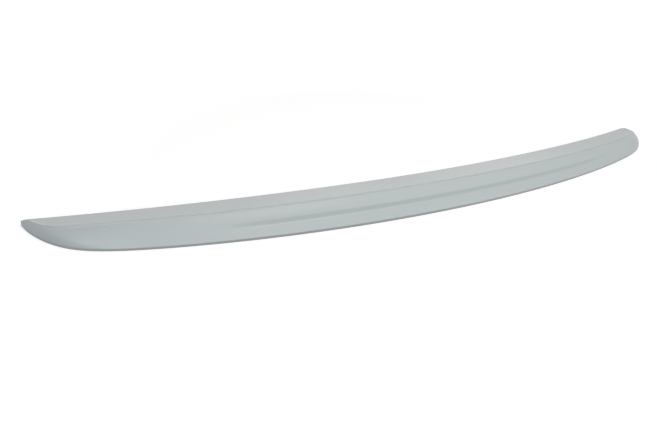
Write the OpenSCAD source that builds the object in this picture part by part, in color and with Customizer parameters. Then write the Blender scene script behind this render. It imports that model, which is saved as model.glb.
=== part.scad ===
// Lip spoiler for the rear edge of a car's boot lid, moulded in one piece.
// X runs along the lip, with the middle at X = 0. The rear edge faces -Y and the front edge +Y.
// The origin is the middle of the bonding flat under the rear edge. Z = 0 is that flat, on which
// the lip also rests when it is off the car.

/* [Plan] */
// Length from tip to tip
length = 1200; // [1000:10:1400]
// Depth from the front edge to the rear edge at the middle
depth_mid = 87; // [80:1:110]
// Depth that the lip narrows to at its ends, before they round off
depth_end = 75.5; // [66:0.5:100]
// How far the tips reach forward of the middle of the front edge
bow = 69; // [30:1:110]
// Share of the bow that grows towards the tips as a plain arc does; the rest comes near the tips
bow_arc = 0.85; // [0.6:0.05:1]
// Length over which each end rounds off
end_len = 60.5; // [40:0.5:100]
// Width of the roll between the crest and the outline of an end
end_roll = 6; // [4:0.5:12]

/* [Heights] */
// Height of the front edge at the middle
front_h = 21; // [14:0.5:26]
// Height of the tips
tip_h = 7.5; // [6:0.5:12]
// How far the top of a tip rounds down
tip_fall = 3; // [0:0.5:4]
// How late the front edge runs down towards the tips
sweep = 2.6; // [2:0.1:4]
// Height of the crest at the middle
crest_h = 31; // [28:0.5:38]
// Height of the crest towards the ends, before it runs down to the tips
crest_end_h = 23; // [22:0.5:34]
// Length over which the crest runs down to the tips
crest_fade = 23.5; // [18:0.5:50]
// Height of the vertical rim at the rear edge, at the middle
rim_h = 4.5; // [3:0.1:7]
// Height of the rim towards the ends
rim_end_h = 3.2; // [2:0.1:6]
// How much the top surface is hollowed between the front edge and the crest
top_hollow = 0.3; // [0:0.05:0.5]

/* [Rear face] */
// Distance from the front edge back to the crest
crest_in = 50.5; // [40:0.5:58]
// Rounding of the crest
crest_round = 1.2; // [0.6:0.1:2]
// Drop of the sharp lip behind the crest
lip_drop = 2.2; // [1:0.1:3]
// Width of the hollow fillet behind the lip
lip_fillet = 2.1; // [1:0.1:3]
// Hollow of the face between the lip and the step
mid_hollow = 0.6; // [0:0.1:1.5]
// Distance of the soft step from the rear edge
step_in = 15.5; // [12:0.5:18]
// Height of the middle of the step, at the middle of the lip
step_h = 19; // [16:0.5:21]
// Height of the middle of the step towards the ends
step_end_h = 11.5; // [11:0.5:16]
// Width of the step, front to rear
step_run = 4; // [3:0.1:10]
// Drop over the step at the middle of the lip
step_drop = 7.5; // [3:0.1:8]
// Drop over the step towards the ends
step_end_drop = 5; // [1:0.1:6]
// Distance from a tip at which the step begins
step_from = 110; // [80:5:180]
// Distance from a tip at which the step is full
step_full = 290; // [200:5:400]
// Roundness of the face below the step: 0 is flat and 1 a quarter of an ellipse
low_round = 0.1; // [0:0.05:1]

/* [Underside] */
// Thickness of the moulded skin
wall = 3; // [2:0.1:3.5]
// Thickness of the front edge
nose = 3; // [2:0.1:4]
// Width of the bonding flat under the rear edge
rear_land = 7; // [5:0.5:10]
// Width of the bonding flat under the front edge
front_land = 10; // [7:0.5:16]
// Length of each end that is solid
end_solid = 65; // [50:1:90]
// Distance between neighbouring ribs
rib_pitch = 100; // [60:5:160]
// Thickness of a rib at its foot
rib_t = 2.5; // [2:0.1:4]
// Gap between a rib and the line of the lid below it
rib_gap = 1.5; // [0.5:0.1:3]

/* [Hidden] */

half = length / 2;
pocket_half = half - end_solid;
// Slope length of a pocket's end walls, of a rib's sides and of the pocket's long walls
pocket_ramp = 10;
rib_draft = 0.8;
wall_draft = 1;
// Depth of the lip below which its bonding flats narrow with it
full_land_depth = 60;
// Size of the broken outer edges
edge = 0.8;
// Shortest distance from the tip at which a section is taken
tip_flat = 0.5;
// Length over which the top of a tip rounds down
tip_len = 7;

// Rounding of the ends in plan: how blunt the curve is, and how sharply it leaves the rear edge
end_blunt = 0.6;
end_corner = 4.5;
// The crest near a tip: its softness, its least distance from the front edge as a share of the
// depth, and how far it stays inside the rear outline as a share of end_roll
crest_soft = 4.1;
crest_least = 0.38;
crest_inside = 0.67;
// Largest share of the face behind the crest that lies below the step
step_share = 0.4;
// How late the underside of the front edge runs down to the foot of the tip
nose_late = 8;
// Height of the tip's rim as a share of the tip
tip_rim = 0.75;
// Roundness of the plain roll at the ends
end_round = 0.75;
// Lean of the lip behind the crest, and the drop over the fillet behind it
lip_lean = 0.5;
fillet_drop = 1;
// Where the face above meets the step, as a share of the step's width from its middle
step_top = 0.31;
// Extra thickness of the skin under the sloped low face, measured upright, as a share of the wall
low_extra = 0.25;
// Share of the crest's rounding that is left at the tips
tip_round = 0.1;
// Distance from a tip over which the rear face turns from a plain roll to its sharp form, and the
// distances between which the plain face turns from round to nearly flat
roll_len = 0.75 * end_len;
flat_from = 0.75 * end_len;
flat_to = 2.15 * end_len;
// Width and height of the rear face below which the lip shrinks with it
full_width = 24;
full_height = 20;

// Steps along the lip: in each end, and in each bay between two ribs
end_steps = 14;
bay_steps = 5;
// Steps across the top, the face behind the crest, the step, and the face below it
top_steps = 7;
mid_steps = 5;
drop_steps = 5;
low_steps = 6;

// Share of the half length at x, and distance left to the tip
function share(x) = min(1, abs(x) / half);
function to_tip(x) = max(half - abs(x), tip_flat);

// Smaller and larger of two lengths, with a rounded change from one to the other
function soft_less(a, b, q) = pow(pow(a, -q) + pow(b, -q), -1 / q);
function soft_more(a, b, q) = pow(pow(a, q) + pow(b, q), 1 / q);
function mix(a, b, u) = a + (b - a) * u;

// Plan: front edge, depth without the rounded ends, depth with them
front_mid_y = depth_mid - rear_land / 2;
function front_y(x) = front_mid_y + bow * mix(pow(share(x), 4), pow(share(x), 2), bow_arc);
function open_depth(x) = mix(depth_mid, depth_end, pow(share(x), 2));
function end_depth(x) = depth_mid * pow(to_tip(x) / end_len, end_blunt);
function depth(x) = soft_less(open_depth(x), end_depth(x), end_corner);

// Place of the crest and of the step, measured back from the front edge
function rolled_depth(x) = max(0, depth(abs(x) + end_roll) - crest_inside * end_roll);
function crest_s(x) =
    soft_less(crest_in, soft_more(crest_least * depth(x), rolled_depth(x), crest_soft), crest_soft);
function step_s(x) = depth(x) - min(step_in, step_share * (depth(x) - crest_s(x)));

// Heights along the lip: tip, front edge, its underside, crest, step and rim
function tip_z(x) = tip_h - tip_fall * (1 - sqrt(1 - pow(1 - min(1, to_tip(x) / tip_len), 2)));
function closing(x) = 1 - exp(-to_tip(x) / crest_fade);
function front_z(x) = mix(front_h, tip_z(x), pow(share(x), sweep));
function base_z(x) = front_z(x) - mix(nose, tip_z(x), pow(share(x), nose_late));
function crest_z(x) = mix(tip_z(x), mix(crest_h, crest_end_h, pow(share(x), 2)), closing(x));
function step_z(x) = mix(tip_z(x), mix(step_h, step_end_h, pow(share(x), 2)), closing(x));
function rim_z(x) =
    mix(mix(rim_h, rim_end_h, pow(share(x), 2)), tip_rim * tip_z(x), pow(1 - depth(x) / open_depth(x), 2));

// Width and height of the rear face at x, as shares of the full ones
function rear_width(x) = min(1, (depth(x) - crest_s(x)) / full_width);
function rear_height(x) = min(1, (crest_z(x) - rim_z(x)) / full_height);

// A smooth rise from 0 to 1
function smooth(u) = let (v = min(1, max(0, u))) v * v * (3 - 2 * v);

// Share of the step at x, and the drop over it
function stepping(x) = smooth((to_tip(x) - step_from) / (step_full - step_from));
function drop_z(x) = mix(step_drop, step_end_drop, pow(share(x), 2));

// Top surface at u = 0 to 1 from the front edge to the crest
function top_z(x, u) = mix(front_z(x), crest_z(x), u - top_hollow * u * (1 - u));

// Line of the lid, from under the front edge to the rear flat
function lid_z(x, s, s_rear) = base_z(x) * max(0, 1 - s / s_rear);

// Foot of the lip behind the crest, as [distance back from the front edge, height]
function lip_foot(x) = [
    crest_s(x) + rear_width(x) * (lip_lean + lip_fillet),
    crest_z(x) - rear_height(x) * (lip_drop + fillet_drop)
];

// Height of the low part of the rear face at s, taken as straight
function low_z(x, s) =
    let (
        foot = step_s(x) + step_run / 2, top = lip_foot(x),
        stepped = mix(step_z(x) - drop_z(x) / 2, rim_z(x), (s - foot) / (depth(x) - foot)),
        plain = mix(top[1], rim_z(x), (s - top[0]) / (depth(x) - top[0]))
    )
    mix(plain, stepped, stepping(x));

// Roundness of the plain face at x
function face_round(x) = mix(end_round, low_round, smooth((to_tip(x) - flat_from) / (flat_to - flat_from)));

// Share of the sharp rear face at x: it turns into a plain roll towards each tip
function facing(x) = smooth(to_tip(x) / roll_len);

// A convex curve from one point down to another, at u = 0 to 1. Its roundness is 0 for a straight
// line and 1 for a quarter of an ellipse.
function roll(a, b, u, roundness) = [
    mix(a[0], b[0], mix(u, sin(90 * u), roundness)),
    mix(a[1], b[1], mix(u, 1 - cos(90 * u), roundness))
];

// Rear face below the lip, as [distance back from the front edge, height]: the face between lip
// and step, the step, and the face below it. Where there is no step, it is one plain face.
function low_face(x, d) =
    let (
        top = lip_foot(x), rim = [d, rim_z(x)],
        step = [for (i = [0 : drop_steps]) let (u = mix(-step_top, 0.5, i / drop_steps))
            [step_s(x) + step_run * u, step_z(x) - drop_z(x) / 2 * sin(180 * u)]],
        stepped = concat(
            [for (i = [0 : mid_steps - 1]) let (u = i / mid_steps)
                mix(top, step[0], u) - [0, 4 * mid_hollow * u * (1 - u)]],
            step,
            [for (i = [1 : low_steps]) roll(step[drop_steps], rim, i / low_steps, low_round)]
        ),
        n = len(stepped) - 1
    )
    [for (i = [0 : n]) mix(roll(top, rim, i / n, face_round(x)), stepped[i], stepping(x))];

// Rear face behind the crest: the lip with its fillet, and the face below it
function rear_face(x, d, c, cz) =
    let (k = rear_width(x), h = rear_height(x))
    concat(
        [for (u = [0, 0.5])
            [c + k * (lip_lean + lip_fillet * u), cz - h * (lip_drop + fillet_drop * (2 * u - u * u))]],
        low_face(x, d)
    );

// Outer half of a section, as [distance back from the front edge, height]
function outer(x) =
    let (
        d = depth(x), c = crest_s(x),
        cz = crest_z(x), fz = front_z(x), bz = base_z(x),
        e = min(edge, d / 10),
        r = crest_round * mix(tip_round, 1, facing(x)),
        sharp = rear_face(x, d, c, cz),
        n = len(sharp)
    )
    concat(
        [[e, bz], [0, bz + e], [0, fz - e]],
        [for (i = [0 : top_steps]) let (u = i / top_steps) [mix(e, c - r, u), top_z(x, u)]],
        [for (a = [45, 90]) [c - r * (1 - sin(a)), cz - r / 2 * (1 - cos(a))]],
        [for (i = [0 : n - 1]) let (plain = roll([c, cz - r / 2], [d, rim_z(x)], (i + 1) / n, end_round))
            mix(plain, sharp[i], facing(x))],
        [[d, e], [d - e, 0]]
    );

// Inner half of a section, from the rear flat to the front one; rib is 1 inside a rib
function inner(x, rib) =
    let (
        d = depth(x), c = crest_s(x), m = step_s(x),
        r = d - rear_land * min(1, d / full_land_depth),
        f = front_land * min(1, d / full_land_depth),
        top = (f + c) / 2,
        hollow = abs(x) < pocket_half,
        roof = [
            [r - wall_draft, low_z(x, r - wall_draft) - low_extra * wall],
            [min(m, r) - step_run / 2 - 2 * wall_draft, step_z(x)],
            [c + wall_draft, crest_z(x) - lip_drop - wall_draft],
            [top, top_z(x, top / c)],
            [f + wall_draft, top_z(x, f / c)]
        ],
        n = len(roof)
    )
    concat(
        [[r, 0]],
        [for (i = [0 : n - 1]) let (
                q = hollow ? roof[i][0] : mix(r, f, (i + 1) / (n + 1)),
                low = lid_z(x, q, r),
                high = hollow ? max(low, roof[i][1] - wall) : low
            )
            [q, rib == 1 ? min(high, low + rib_gap) : high]],
        [[f, lid_z(x, f, r)]]
    );

// A full section at x, in the part's own frame
function section(x, rib) = [for (q = concat(outer(x), inner(x, rib))) [x, front_y(x) - q[0], q[1]]];

// Stations along the lip, each as [x, 1 inside a rib]
rib_count = floor((pocket_half - pocket_ramp - rib_t) / rib_pitch);
rib_foot = rib_t / 2 + rib_draft;
function rib_stations(x) = [[x - rib_foot, 0], [x - rib_t / 2, 1], [x + rib_t / 2, 1], [x + rib_foot, 0]];
function bay_stations(x) = [for (i = [1 : bay_steps - 1]) [x + rib_pitch * i / bay_steps, 0]];
function end_stations(side) = [for (i = [0 : end_steps])
    [side * (half - end_solid * pow(i / end_steps, 2)), 0]];
function reversed(list) = [for (i = [len(list) - 1 : -1 : 0]) list[i]];
stations = concat(
    end_stations(-1),
    [[-(pocket_half - pocket_ramp), 0]],
    [for (i = [-rib_count : rib_count]) each concat(
        rib_stations(i * rib_pitch), i < rib_count ? bay_stations(i * rib_pitch) : [])],
    [[pocket_half - pocket_ramp, 0]],
    reversed(end_stations(1))
);

// Middle of a section's points
function middle(row) = [for (k = [0 : 2]) (max([for (p = row) p[k]]) + min([for (p = row) p[k]])) / 2];

// One closed skin through a row of sections that have equally many points. Each end is
// closed by a fan from the middle of its section.
module loft(rows) {
    n = len(rows);
    m = len(rows[0]);
    sides = [for (i = [0 : n - 2], j = [0 : m - 1])
        let (a = i * m + j, b = i * m + (j + 1) % m)
        each [[a, a + m, b + m], [a, b + m, b]]];
    first = [for (j = [0 : m - 1]) [n * m, j, (j + 1) % m]];
    last = [for (j = [0 : m - 1]) [n * m + 1, (n - 1) * m + (j + 1) % m, (n - 1) * m + j]];
    polyhedron(
        points = concat([for (row = rows) each row], [middle(rows[0]), middle(rows[n - 1])]),
        faces = concat(sides, first, last),
        convexity = 8
    );
}

module spoiler() {
    color([0.74, 0.76, 0.76]) loft([for (s = stations) section(s[0], s[1])]);
}

spoiler();
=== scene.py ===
import math

import bpy
from mathutils import Matrix, Vector


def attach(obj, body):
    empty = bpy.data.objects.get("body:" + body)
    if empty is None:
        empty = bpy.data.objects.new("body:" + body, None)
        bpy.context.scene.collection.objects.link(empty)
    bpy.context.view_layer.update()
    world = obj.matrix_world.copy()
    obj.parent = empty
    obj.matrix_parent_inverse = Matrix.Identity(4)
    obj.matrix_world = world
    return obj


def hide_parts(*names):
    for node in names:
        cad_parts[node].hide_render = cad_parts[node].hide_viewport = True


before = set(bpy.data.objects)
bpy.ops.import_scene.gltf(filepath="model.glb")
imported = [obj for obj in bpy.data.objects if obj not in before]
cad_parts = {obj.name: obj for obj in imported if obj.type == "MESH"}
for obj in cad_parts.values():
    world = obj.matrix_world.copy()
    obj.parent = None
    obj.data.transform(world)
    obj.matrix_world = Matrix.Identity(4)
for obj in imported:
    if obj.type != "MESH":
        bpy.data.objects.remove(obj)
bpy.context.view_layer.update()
scene = bpy.context.scene
print("frame loaded:", ", ".join(sorted(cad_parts)))


# Small helpers

def mix(a, b, u):
    return a + (b - a) * u


def mixPoint(a, b, u):
    return (mix(a[0], b[0], u), mix(a[1], b[1], u))


def softLess(a, b, q):  # smaller of two lengths, with a rounded change between them
    return (a ** -q + b ** -q) ** (-1 / q)


def softMore(a, b, q):
    return (a ** q + b ** q) ** (1 / q)


def spread(start, end, count):  # count steps after start, up to and with end
    return [mix(start, end, (i + 1) / count) for i in range(count)]


# The lip itself: the same form as the solid, in metres, with a finer skin and rounded edges

lip = {
    "length": 1.2,
    "depthMiddle": 0.087,
    "depthEnds": 0.0755,
    "bow": 0.069,
    "bowArc": 0.85,
    "endLength": 0.0605,
    "endBlunt": 0.6,
    "endCorner": 4.5,
    "endRoll": 0.006,
    "frontHeight": 0.021,
    "tipHeight": 0.0075,
    "tipFall": 0.003,
    "tipLength": 0.007,
    "sweep": 2.6,
    "noseLate": 8,
    "crestHeight": 0.031,
    "crestEndHeight": 0.023,
    "crestFade": 0.0235,
    "crestIn": 0.0505,
    "crestRound": 0.0012,
    "crestSoft": 4.1,
    "crestLeast": 0.38,
    "crestInside": 0.67,
    "tipRound": 0.1,
    "topHollow": 0.3,
    "rimHeight": 0.0045,
    "rimEndHeight": 0.0032,
    "tipRim": 0.75,
    "lipDrop": 0.0022,
    "lipLean": 0.0005,
    "lipFillet": 0.0021,
    "filletDrop": 0.001,
    "faceHollow": 0.0006,
    "stepIn": 0.0155,
    "stepShare": 0.4,
    "stepHeight": 0.019,
    "stepEndHeight": 0.0115,
    "stepRun": 0.004,
    "stepTop": 0.31,
    "stepDrop": 0.0075,
    "stepEndDrop": 0.005,
    "stepFrom": 0.11,
    "stepFull": 0.29,
    "lowRound": 0.1,
    "endRound": 0.75,
    "rollLength": 0.045375,
    "flatFrom": 0.045375,
    "flatTo": 0.130075,
    "fullWidth": 0.024,
    "fullHeight": 0.02,
    "edge": 0.0008,
    "tipFlat": 0.0005,
    "wall": 0.003,
    "lowExtra": 0.25,
    "nose": 0.003,
    "rearLand": 0.007,
    "frontLand": 0.01,
    "fullLandDepth": 0.06,
    "endSolid": 0.065,
    "pocketRamp": 0.01,
    "wallDraft": 0.001,
    "ribPitch": 0.1,
    "ribThickness": 0.0025,
    "ribDraft": 0.0008,
    "ribGap": 0.0015,
}
halfLength = lip["length"] / 2
pocketHalf = halfLength - lip["endSolid"]
# Where the rear face's zones end, as shares of the way from the crest to the rim:
# the lip's drop, its fillet, the hollow face and the soft step. The low face is the rest.
rearZones = (1 / 19, 3 / 19, 8 / 19, 13 / 19)


def share(x):
    return min(1, abs(x) / halfLength)


def toTip(x):
    return max(halfLength - abs(x), lip["tipFlat"])


def frontY(x):
    middle = lip["depthMiddle"] - lip["rearLand"] / 2
    return middle + lip["bow"] * mix(share(x) ** 4, share(x) ** 2, lip["bowArc"])


def openDepth(x):
    return mix(lip["depthMiddle"], lip["depthEnds"], share(x) ** 2)


def depth(x):
    atEnd = lip["depthMiddle"] * (toTip(x) / lip["endLength"]) ** lip["endBlunt"]
    return softLess(openDepth(x), atEnd, lip["endCorner"])


def crestPlace(x):
    rolled = max(0, depth(abs(x) + lip["endRoll"]) - lip["crestInside"] * lip["endRoll"])
    return softLess(lip["crestIn"], softMore(lip["crestLeast"] * depth(x), rolled, lip["crestSoft"]),
                    lip["crestSoft"])


def stepPlace(x):
    return depth(x) - min(lip["stepIn"], lip["stepShare"] * (depth(x) - crestPlace(x)))


def closing(x):
    return 1 - math.exp(-toTip(x) / lip["crestFade"])


def tipZ(x):  # the top of a tip rounds down
    along = 1 - min(1, toTip(x) / lip["tipLength"])
    return lip["tipHeight"] - lip["tipFall"] * (1 - math.sqrt(1 - along * along))


def frontZ(x):
    return mix(lip["frontHeight"], tipZ(x), share(x) ** lip["sweep"])


def baseZ(x):
    return frontZ(x) - mix(lip["nose"], tipZ(x), share(x) ** lip["noseLate"])


def crestZ(x):
    return mix(tipZ(x), mix(lip["crestHeight"], lip["crestEndHeight"], share(x) ** 2), closing(x))


def stepZ(x):
    return mix(tipZ(x), mix(lip["stepHeight"], lip["stepEndHeight"], share(x) ** 2), closing(x))


def rimZ(x):
    rim = mix(lip["rimHeight"], lip["rimEndHeight"], share(x) ** 2)
    return mix(rim, lip["tipRim"] * tipZ(x), (1 - depth(x) / openDepth(x)) ** 2)


def rearWidth(x):  # the lip shrinks where the rear face is narrow or low
    return min(1, (depth(x) - crestPlace(x)) / lip["fullWidth"])


def rearHeight(x):
    return min(1, (crestZ(x) - rimZ(x)) / lip["fullHeight"])


def smooth(u):  # a smooth rise from 0 to 1
    v = min(1, max(0, u))
    return v * v * (3 - 2 * v)


def stepping(x):  # share of the step at x
    return smooth((toTip(x) - lip["stepFrom"]) / (lip["stepFull"] - lip["stepFrom"]))


def dropZ(x):
    return mix(lip["stepDrop"], lip["stepEndDrop"], share(x) ** 2)


def topZ(x, u):
    return mix(frontZ(x), crestZ(x), u - lip["topHollow"] * u * (1 - u))


def lidZ(x, s, sRear):
    return baseZ(x) * max(0, 1 - s / sRear)


def lipFoot(x):  # foot of the lip behind the crest
    return (crestPlace(x) + rearWidth(x) * (lip["lipLean"] + lip["lipFillet"]),
            crestZ(x) - rearHeight(x) * (lip["lipDrop"] + lip["filletDrop"]))


def lowZ(x, s):
    foot, top = stepPlace(x) + lip["stepRun"] / 2, lipFoot(x)
    stepped = mix(stepZ(x) - dropZ(x) / 2, rimZ(x), (s - foot) / (depth(x) - foot))
    plain = mix(top[1], rimZ(x), (s - top[0]) / (depth(x) - top[0]))
    return mix(plain, stepped, stepping(x))


def faceRound(x):  # the plain face turns from round near the tips to nearly flat
    flat = smooth((toTip(x) - lip["flatFrom"]) / (lip["flatTo"] - lip["flatFrom"]))
    return mix(lip["endRound"], lip["lowRound"], flat)


def facing(x):  # 1 where the rear face has its sharp form, 0 where it is a plain roll
    return smooth(toTip(x) / lip["rollLength"])


def roll(a, b, u, roundness):  # a convex curve from one point down to another
    angle = math.radians(90 * u)
    return (mix(a[0], b[0], mix(u, math.sin(angle), roundness)),
            mix(a[1], b[1], mix(u, 1 - math.cos(angle), roundness)))


def steppedPoint(x, along):  # hollow face, soft step and low face, below the lip
    top, rim = lipFoot(x), (depth(x), rimZ(x))
    faceEnd, stepEnd = rearZones[2:]

    def stepPoint(u):
        turn = mix(-lip["stepTop"], 0.5, u)
        return (stepPlace(x) + lip["stepRun"] * turn, stepZ(x) - dropZ(x) / 2 * math.sin(math.pi * turn))

    if along <= faceEnd:
        u = (along - rearZones[1]) / (faceEnd - rearZones[1])
        s, z = mixPoint(top, stepPoint(0), u)
        return (s, z - 4 * lip["faceHollow"] * u * (1 - u))
    if along <= stepEnd:
        return stepPoint((along - faceEnd) / (stepEnd - faceEnd))
    return roll(stepPoint(1), rim, (along - stepEnd) / (1 - stepEnd), lip["lowRound"])


def sharpPoint(x, along, r):  # rear face as a lip behind the crest, and the face below it
    c, cz = crestPlace(x), crestZ(x)
    wide, high = rearWidth(x), rearHeight(x)
    lipEnd, filletEnd = rearZones[:2]

    def filletPoint(u):
        return (c + wide * (lip["lipLean"] + lip["lipFillet"] * u),
                cz - high * (lip["lipDrop"] + lip["filletDrop"] * (2 * u - u * u)))

    if along <= lipEnd:
        return mixPoint((c, cz - r / 2), filletPoint(0), along / lipEnd)
    if along <= filletEnd:
        return filletPoint((along - lipEnd) / (filletEnd - lipEnd))
    u = (along - filletEnd) / (1 - filletEnd)
    plain = roll(lipFoot(x), (depth(x), rimZ(x)), u, faceRound(x))
    return mixPoint(plain, steppedPoint(x, along), stepping(x))


skin = {
    "topSteps": 26,
    "crestSteps": 4,
    "zoneSteps": (2, 6, 14, 14, 16),  # lip, fillet, hollow face, step, low face
    "edgeSteps": 4,
    "innerRounds": 2,
    "endStations": 44,
    "bayStations": 15,
    "rampStations": 4,
    "sharpAngle": 38,
}


def outerHalf(x):  # from under the front edge, over the top and down to the rear flat
    d, c = depth(x), crestPlace(x)
    cz, fz, bz = crestZ(x), frontZ(x), baseZ(x)
    e = min(lip["edge"], d / 10)
    r = lip["crestRound"] * mix(lip["tipRound"], 1, facing(x))
    quarter = [math.pi / 2 * i / skin["edgeSteps"] for i in range(skin["edgeSteps"] + 1)]
    points = [(e * (1 - math.sin(a)), bz + e * (1 - math.cos(a))) for a in quarter]
    points += [(e * (1 - math.cos(a)), fz - e * (1 - math.sin(a))) for a in quarter[:-1]]
    points += [(mix(e, c - r, u), topZ(x, u)) for u in [0] + spread(0, 1, skin["topSteps"])]
    points += [(c - r * (1 - math.sin(a)), cz - r / 2 * (1 - math.cos(a)))
               for a in spread(0, math.pi / 2, skin["crestSteps"])]
    ends = (0,) + rearZones + (1,)
    plainStart, plainEnd = (c, cz - r / 2), (d, rimZ(x))
    for zone, count in enumerate(skin["zoneSteps"]):
        for along in spread(ends[zone], ends[zone + 1], count):
            plain = roll(plainStart, plainEnd, along, lip["endRound"])
            points.append(mixPoint(plain, sharpPoint(x, along, r), facing(x)))
    points += [(d - e * (1 - math.cos(a)), e * (1 - math.sin(a))) for a in quarter]
    return points


def roundCorners(points, rounds):  # cuts the corners between the two ends of a line
    for _ in range(rounds):
        cut = [points[0]]
        for a, b in zip(points[:-1], points[1:]):
            cut += [mixPoint(a, b, 0.25), mixPoint(a, b, 0.75)]
        points = cut + [points[-1]]
    return points


def innerHalf(x, inRib):  # from the rear flat, through the pocket, to the front flat
    d, c, m = depth(x), crestPlace(x), stepPlace(x)
    r = d - lip["rearLand"] * min(1, d / lip["fullLandDepth"])
    f = lip["frontLand"] * min(1, d / lip["fullLandDepth"])
    top, draft = (f + c) / 2, lip["wallDraft"]
    hollow = abs(x) < pocketHalf - 1e-9
    roof = [(r - draft, lowZ(x, r - draft) - lip["lowExtra"] * lip["wall"]),
            (min(m, r) - lip["stepRun"] / 2 - 2 * draft, stepZ(x)),
            (c + draft, crestZ(x) - lip["lipDrop"] - draft), (top, topZ(x, top / c)),
            (f + draft, topZ(x, f / c))]
    points = [(r, 0)]
    for i, (s, z) in enumerate(roof):
        q = s if hollow else mix(r, f, (i + 1) / (len(roof) + 1))
        low = lidZ(x, q, r)
        high = max(low, z - lip["wall"]) if hollow else low
        points.append((q, min(high, low + lip["ribGap"]) if inRib else high))
    return roundCorners(points + [(f, lidZ(x, f, r))], skin["innerRounds"])


def stationList():  # places along the lip, each with True inside a rib
    ribCount = int((pocketHalf - lip["pocketRamp"] - lip["ribThickness"]) / lip["ribPitch"])
    foot = lip["ribThickness"] / 2 + lip["ribDraft"]
    inner = lip["ribThickness"] / 2
    rampEnd = pocketHalf - lip["pocketRamp"]
    places = []
    for rib in range(-ribCount, ribCount + 1):
        x = rib * lip["ribPitch"]
        places += [(x - foot, False), (x - inner, True), (x + inner, True), (x + foot, False)]
    bays = [rib * lip["ribPitch"] for rib in range(-ribCount, ribCount)]
    for x in bays:
        bay = spread(x + foot, x + lip["ribPitch"] - foot, skin["bayStations"] + 1)[:-1]
        places += [(u, False) for u in bay]
    outermost = ribCount * lip["ribPitch"] + foot
    for side in (-1, 1):
        places += [(side * u, False) for u in spread(outermost, rampEnd, skin["rampStations"])]
        places += [(side * (halfLength - lip["endSolid"] * (i / skin["endStations"]) ** 2), False)
                   for i in range(skin["endStations"] + 1)]
    return sorted(places)


def loftMesh(name, rows):  # one closed skin, with a fan at each end
    count, size = len(rows), len(rows[0])
    points = [p for row in rows for p in row]
    faces = []
    for i in range(count - 1):
        for j in range(size):
            a, b = i * size + j, i * size + (j + 1) % size
            faces.append((a, b, b + size, a + size))
    for row, start, flip in ((rows[0], 0, False), (rows[-1], (count - 1) * size, True)):
        centre = len(points)
        points.append(tuple((max(p[k] for p in row) + min(p[k] for p in row)) / 2 for k in range(3)))
        for j in range(size):
            a, b = start + j, start + (j + 1) % size
            faces.append((centre, a, b) if flip else (centre, b, a))
    mesh = bpy.data.meshes.new(name)
    mesh.from_pydata(points, [], faces)
    mesh.update()
    return mesh


def buildLip():
    rows = []
    for x, inRib in stationList():
        half = outerHalf(x) + innerHalf(x, inRib)
        rows.append([(x, frontY(x) - s, z) for s, z in half])
    mesh = loftMesh("lipSkin", rows)
    for polygon in mesh.polygons:
        polygon.use_smooth = True
    mesh.set_sharp_from_angle(angle=math.radians(skin["sharpAngle"]))
    piece = bpy.data.objects.new("lipSkin", mesh)
    scene.collection.objects.link(piece)
    return piece


lipSkin = buildLip()
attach(lipSkin, "root")
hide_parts("spoiler")
print("lip skin:", len(lipSkin.data.polygons), "faces")


# Materials

def nodeOf(tree, kind, place, **inputs):
    node = tree.nodes.new(kind)
    node.location = place
    for name, value in inputs.items():
        node.inputs[name.replace("_", " ")].default_value = value
    return node


def makeGroup(name, inputs, outputs):
    group = bpy.data.node_groups.new(name, "ShaderNodeTree")
    for label, kind, value in inputs:
        socket = group.interface.new_socket(name=label, in_out="INPUT", socket_type=kind)
        socket.default_value = value
    for label, kind in outputs:
        group.interface.new_socket(name=label, in_out="OUTPUT", socket_type=kind)
    start = group.nodes.new("NodeGroupInput")
    start.location = (-900, 0)
    end = group.nodes.new("NodeGroupOutput")
    end.location = (700, 0)
    return group, start, end


primer = {
    "colour": (0.462, 0.506, 0.511, 1),
    "warmColour": (0.478, 0.506, 0.503, 1),
    "roughness": 0.4,
    "roughnessChange": 0.1,
    "grainSize": 0.0006,
    "grainDepth": 0.000012,
    "peelSize": 0.006,
    "peelDepth": 0.00002,
    "mottleSize": 0.05,
    "mottleStrength": 0.35,
    # painted shade on the upright rim at the foot of the lip: its darker colour, and the band's height
    # and fade
    "rimShadeColour": (0.37, 0.4, 0.4, 1),
    "rimHeight": 0.0042,
    "rimShadeFade": 0.001,
}


def sprayGrain():  # the fine grain and soft ripple of sprayed primer
    group, start, end = makeGroup(
        "sprayGrain",
        [("Grain Size", "NodeSocketFloat", 0.0006), ("Grain Depth", "NodeSocketFloat", 0.00001),
         ("Peel Size", "NodeSocketFloat", 0.006), ("Peel Depth", "NodeSocketFloat", 0.00002)],
        [("Height", "NodeSocketFloat"), ("Grain", "NodeSocketFloat")])
    place = nodeOf(group, "ShaderNodeTexCoord", (-900, -300))
    heights = []
    for label, y in (("Grain", 150), ("Peel", -250)):
        scale = nodeOf(group, "ShaderNodeMath", (-650, y))
        scale.operation = "DIVIDE"
        scale.inputs[0].default_value = 1
        group.links.new(start.outputs[label + " Size"], scale.inputs[1])
        noise = nodeOf(group, "ShaderNodeTexNoise", (-420, y), Detail=2.0, Roughness=0.55)
        group.links.new(place.outputs["Object"], noise.inputs["Vector"])
        group.links.new(scale.outputs[0], noise.inputs["Scale"])
        deep = nodeOf(group, "ShaderNodeMath", (-180, y))
        deep.operation = "MULTIPLY"
        group.links.new(noise.outputs["Fac"], deep.inputs[0])
        group.links.new(start.outputs[label + " Depth"], deep.inputs[1])
        heights.append((noise, deep))
    total = nodeOf(group, "ShaderNodeMath", (120, 0))
    group.links.new(heights[0][1].outputs[0], total.inputs[0])
    group.links.new(heights[1][1].outputs[0], total.inputs[1])
    group.links.new(total.outputs[0], end.inputs["Height"])
    group.links.new(heights[0][0].outputs["Fac"], end.inputs["Grain"])
    return group


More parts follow.
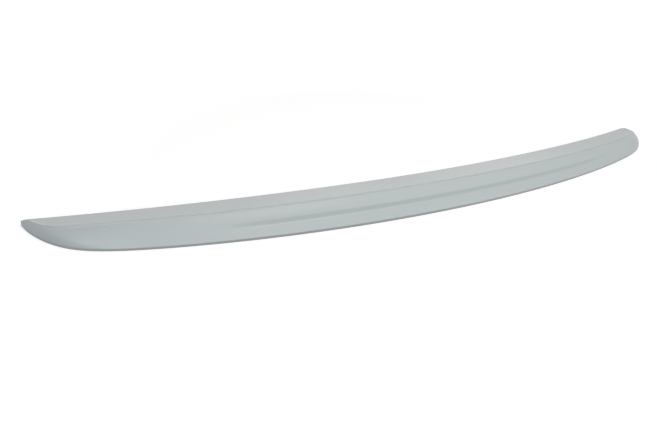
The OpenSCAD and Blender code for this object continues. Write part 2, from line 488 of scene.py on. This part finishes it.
def softMottle():  # slow change of tone over the length
    group, start, end = makeGroup(
        "softMottle",
        [("Size", "NodeSocketFloat", 0.05), ("Strength", "NodeSocketFloat", 0.3)],
        [("Mask", "NodeSocketFloat")])
    place = nodeOf(group, "ShaderNodeTexCoord", (-900, -300))
    scale = nodeOf(group, "ShaderNodeMath", (-650, 0))
    scale.operation = "DIVIDE"
    scale.inputs[0].default_value = 1
    group.links.new(start.outputs["Size"], scale.inputs[1])
    noise = nodeOf(group, "ShaderNodeTexNoise", (-400, 0), Detail=3.0, Roughness=0.5)
    group.links.new(place.outputs["Object"], noise.inputs["Vector"])
    group.links.new(scale.outputs[0], noise.inputs["Scale"])
    strength = nodeOf(group, "ShaderNodeMath", (-100, 0))
    strength.operation = "MULTIPLY"
    group.links.new(noise.outputs["Fac"], strength.inputs[0])
    group.links.new(start.outputs["Strength"], strength.inputs[1])
    group.links.new(strength.outputs[0], end.inputs["Mask"])
    return group


def paintedRimShade():  # 1 on the upright rim at the foot of the lip, where its colour is darkened as painted shade
    group, start, end = makeGroup(
        "paintedRimShade",
        [("Height", "NodeSocketFloat", 0.004), ("Fade", "NodeSocketFloat", 0.001)],
        [("Mask", "NodeSocketFloat")])
    place = nodeOf(group, "ShaderNodeTexCoord", (-900, -300))
    split = nodeOf(group, "ShaderNodeSeparateXYZ", (-650, 100))
    group.links.new(place.outputs["Object"], split.inputs[0])
    turned = nodeOf(group, "ShaderNodeSeparateXYZ", (-650, -300))
    group.links.new(place.outputs["Normal"], turned.inputs[0])
    below = nodeOf(group, "ShaderNodeMath", (-400, 100))
    below.operation = "SUBTRACT"
    group.links.new(start.outputs["Height"], below.inputs[0])
    group.links.new(split.outputs["Z"], below.inputs[1])
    faded = nodeOf(group, "ShaderNodeMath", (-150, 100))
    faded.operation = "DIVIDE"
    faded.use_clamp = True
    group.links.new(below.outputs[0], faded.inputs[0])
    group.links.new(start.outputs["Fade"], faded.inputs[1])
    outside = nodeOf(group, "ShaderNodeMath", (-150, -200))
    outside.operation = "GREATER_THAN"
    outside.inputs[1].default_value = -0.5  # leaves out what faces the floor
    group.links.new(turned.outputs["Z"], outside.inputs[0])
    mask = nodeOf(group, "ShaderNodeMath", (150, 0))
    mask.operation = "MULTIPLY"
    group.links.new(faded.outputs[0], mask.inputs[0])
    group.links.new(outside.outputs[0], mask.inputs[1])
    group.links.new(mask.outputs[0], end.inputs["Mask"])
    return group


def placeGroup(tree, group, place, **inputs):
    node = tree.nodes.new("ShaderNodeGroup")
    node.node_tree = group
    node.location = place
    for name, value in inputs.items():
        node.inputs[name.replace("_", " ")].default_value = value
    return node


def colourMix(tree, place, mask):  # the two colour inputs and the output of a mix
    node = nodeOf(tree, "ShaderNodeMix", place)
    node.data_type = "RGBA"
    tree.links.new(mask, node.inputs["Factor"])
    colours = [s for s in node.inputs if s.type == "RGBA"]
    return colours + [s for s in node.outputs if s.type == "RGBA"]


grainGroup, mottleGroup, rimShadeGroup = sprayGrain(), softMottle(), paintedRimShade()


def primerMaterial():
    material = bpy.data.materials.new("greyPrimer")
    material.use_nodes = True
    tree = material.node_tree
    shader = tree.nodes["Principled BSDF"]
    shader.inputs["Specular IOR Level"].default_value = 0.5
    shader.inputs["IOR"].default_value = 1.5
    grain = placeGroup(tree, grainGroup, (-700, -250), Grain_Size=primer["grainSize"],
                       Grain_Depth=primer["grainDepth"], Peel_Size=primer["peelSize"],
                       Peel_Depth=primer["peelDepth"])
    mottle = placeGroup(tree, mottleGroup, (-700, 200), Size=primer["mottleSize"],
                        Strength=primer["mottleStrength"])
    rim = placeGroup(tree, rimShadeGroup, (-700, 500), Height=primer["rimHeight"], Fade=primer["rimShadeFade"])
    tone = colourMix(tree, (-450, 300), mottle.outputs["Mask"])
    tone[0].default_value = primer["colour"]
    tone[1].default_value = primer["warmColour"]
    # the rim at the foot of the lip takes the darker rim colour, as painted shade
    rimShaded = colourMix(tree, (-200, 300), rim.outputs["Mask"])
    tree.links.new(tone[2], rimShaded[0])
    rimShaded[1].default_value = primer["rimShadeColour"]
    tree.links.new(rimShaded[2], shader.inputs["Base Color"])
    rough = nodeOf(tree, "ShaderNodeMapRange", (-350, -50))
    rough.inputs["To Min"].default_value = primer["roughness"] - primer["roughnessChange"] / 2
    rough.inputs["To Max"].default_value = primer["roughness"] + primer["roughnessChange"] / 2
    tree.links.new(grain.outputs["Grain"], rough.inputs["Value"])
    tree.links.new(rough.outputs["Result"], shader.inputs["Roughness"])
    bump = nodeOf(tree, "ShaderNodeBump", (-350, -350), Distance=1.0, Strength=1.0)
    tree.links.new(grain.outputs["Height"], bump.inputs["Height"])
    tree.links.new(bump.outputs["Normal"], shader.inputs["Normal"])
    return material


lipSkin.data.materials.append(primerMaterial())
print("materials done")


# Floor, light and camera

floor = {
    "size": 60,
    "gap": 0.0002,
    "paleness": 0.5,
    "whiteLift": 0.62,  # added to what the lamps give, so that the floor shows white
    "farLift": 1.0,
    "liftFrom": 0.5,  # from here on the lift grows, because the lamps give less light
    "liftTo": 1.3,
}


def seenRays(tree, place):  # 1 for what the camera, a reflection or a clear piece sees
    path = nodeOf(tree, "ShaderNodeLightPath", place)
    result = path.outputs["Is Camera Ray"]
    for i, label in enumerate(("Is Glossy Ray", "Is Transmission Ray")):
        either = nodeOf(tree, "ShaderNodeMath", (place[0] + 180 * (i + 1), place[1]))
        either.operation = "MAXIMUM"
        tree.links.new(result, either.inputs[0])
        tree.links.new(path.outputs[label], either.inputs[1])
        result = either.outputs[0]
    return result


def floorMaterial():
    material = bpy.data.materials.new("paleFloor")
    material.use_nodes = True
    tree = material.node_tree
    tree.nodes.remove(tree.nodes["Principled BSDF"])
    out = tree.nodes["Material Output"]
    pale = nodeOf(tree, "ShaderNodeBsdfDiffuse", (-200, 100))
    pale.inputs["Color"].default_value = (floor["paleness"],) * 3 + (1,)
    lift = nodeOf(tree, "ShaderNodeEmission", (-200, -100))
    place = nodeOf(tree, "ShaderNodeTexCoord", (-940, -350))
    away = nodeOf(tree, "ShaderNodeVectorMath", (-760, -350))
    away.operation = "LENGTH"
    tree.links.new(place.outputs["Object"], away.inputs[0])
    level = nodeOf(tree, "ShaderNodeMapRange", (-580, -350))
    level.inputs["From Min"].default_value = floor["liftFrom"]
    level.inputs["From Max"].default_value = floor["liftTo"]
    level.inputs["To Min"].default_value = floor["whiteLift"]
    level.inputs["To Max"].default_value = floor["farLift"]
    tree.links.new(away.outputs["Value"], level.inputs["Value"])
    amount = nodeOf(tree, "ShaderNodeMath", (-380, -100))
    amount.operation = "MULTIPLY"
    tree.links.new(level.outputs["Result"], amount.inputs[1])
    tree.links.new(seenRays(tree, (-940, -100)), amount.inputs[0])
    tree.links.new(amount.outputs[0], lift.inputs["Strength"])
    both = nodeOf(tree, "ShaderNodeAddShader", (0, 0))
    tree.links.new(pale.outputs[0], both.inputs[0])
    tree.links.new(lift.outputs[0], both.inputs[1])
    tree.links.new(both.outputs[0], out.inputs["Surface"])
    return material


def buildFloor():
    half = floor["size"] / 2
    mesh = bpy.data.meshes.new("floor")
    mesh.from_pydata([(-half, -half, 0), (half, -half, 0), (half, half, 0), (-half, half, 0)],
                     [], [(0, 1, 2, 3)])
    mesh.materials.append(floorMaterial())
    piece = bpy.data.objects.new("floor", mesh)
    piece.location = (0, 0, -floor["gap"])
    scene.collection.objects.link(piece)


light = {
    "skyStrength": 0.2,
    # name: place, aim, width in metres, power, colour
    "softboxes": {
        "rearHigh": ((0, -1.62, 1.99), (0, 0.05, 0), 1.5, 15.0, (1, 0.98, 0.89)),
        "rearLeft": ((-1.59, -1.54, 1.3), (0, 0.05, 0), 1.5, 21.3, (0.87, 0.92, 1)),
        "rearRight": ((1.59, -1.54, 1.3), (0, 0.05, 0), 1.5, 11.8, (0.88, 0.95, 1)),
        "overhead": ((0, 0.1, 1), (0, 0.05, 0), 0.5, 2.82, (1, 0.935, 0.89)),
        "frontHigh": ((1.45, 0.89, 1.99), (0, 0.05, 0), 1.5, 4.76, (0.93, 0.97, 1)),
        "frontLow": ((0, 2.56, 0.67), (0, 0.05, 0), 1.5, 3.08, (0.92, 0.88, 1)),
        "frontRight": ((1.83, 1.88, 0.32), (0, 0.05, 0), 0.7, 1.19, (1, 0.88, 0.87)),
        "frontMiddle": ((1.09, 2.39, 0.32), (0, 0.05, 0), 0.7, 1.55, (1, 0.87, 0.87)),
    },
}


def buildSky():
    world = bpy.data.worlds.new("studio")
    scene.world = world
    world.use_nodes = True
    tree = world.node_tree
    tree.nodes.clear()
    out = nodeOf(tree, "ShaderNodeOutputWorld", (600, 0))
    soft = nodeOf(tree, "ShaderNodeBackground", (0, 100), Strength=light["skyStrength"])
    white = nodeOf(tree, "ShaderNodeBackground", (0, -100), Strength=1.0)
    for node in (soft, white):
        node.inputs["Color"].default_value = (1, 1, 1, 1)
    choose = nodeOf(tree, "ShaderNodeMixShader", (300, 0))
    tree.links.new(seenRays(tree, (-500, 250)), choose.inputs[0])
    tree.links.new(soft.outputs[0], choose.inputs[1])
    tree.links.new(white.outputs[0], choose.inputs[2])
    tree.links.new(choose.outputs[0], out.inputs["Surface"])


def buildSoftboxes():
    for name, (place, aim, size, power, colour) in light["softboxes"].items():
        data = bpy.data.lights.new(name, "AREA")
        data.shape = "SQUARE"
        data.size = size
        data.energy = power
        data.color = colour
        lamp = bpy.data.objects.new(name, data)
        lamp.location = place
        lamp.rotation_mode = "QUATERNION"
        lamp.rotation_quaternion = (Vector(aim) - Vector(place)).to_track_quat("-Z", "Y")
        scene.collection.objects.link(lamp)


camera = {
    "turn": -33.5295,  # degrees round the lip, from straight behind it
    "rise": 29.7775,
    "roll": 7.3422,
    "distance": 0.8994256,
    "across": -0.207199,
    "up": -0.0388674,
    "focusPixels": 581.0325,
    "imageWidth": 657,
    "sensorWidth": 36,
}


def buildCamera():
    a, e, r = (math.radians(camera[key]) for key in ("turn", "rise", "roll"))
    back = Vector((math.sin(a) * math.cos(e), -math.cos(a) * math.cos(e), math.sin(e)))
    right = (-back).cross(Vector((0, 0, 1))).normalized()
    up = right.cross(-back)
    place = back * camera["distance"] + right * camera["across"] + up * camera["up"]
    rolledRight = right * math.cos(r) + up * math.sin(r)
    rolledUp = up * math.cos(r) - right * math.sin(r)
    data = bpy.data.cameras.new("camera")
    data.sensor_width = camera["sensorWidth"]
    data.lens = camera["focusPixels"] * data.sensor_width / camera["imageWidth"]
    data.clip_start, data.clip_end = 0.01, 100
    eye = bpy.data.objects.new("camera", data)
    eye.matrix_world = Matrix((
        (rolledRight.x, rolledUp.x, back.x, place.x),
        (rolledRight.y, rolledUp.y, back.y, place.y),
        (rolledRight.z, rolledUp.z, back.z, place.z),
        (0, 0, 0, 1)))
    scene.collection.objects.link(eye)
    scene.camera = eye


buildFloor()
buildSky()
buildSoftboxes()
buildCamera()
scene.view_settings.view_transform = "Standard"
print("floor, light and camera done")
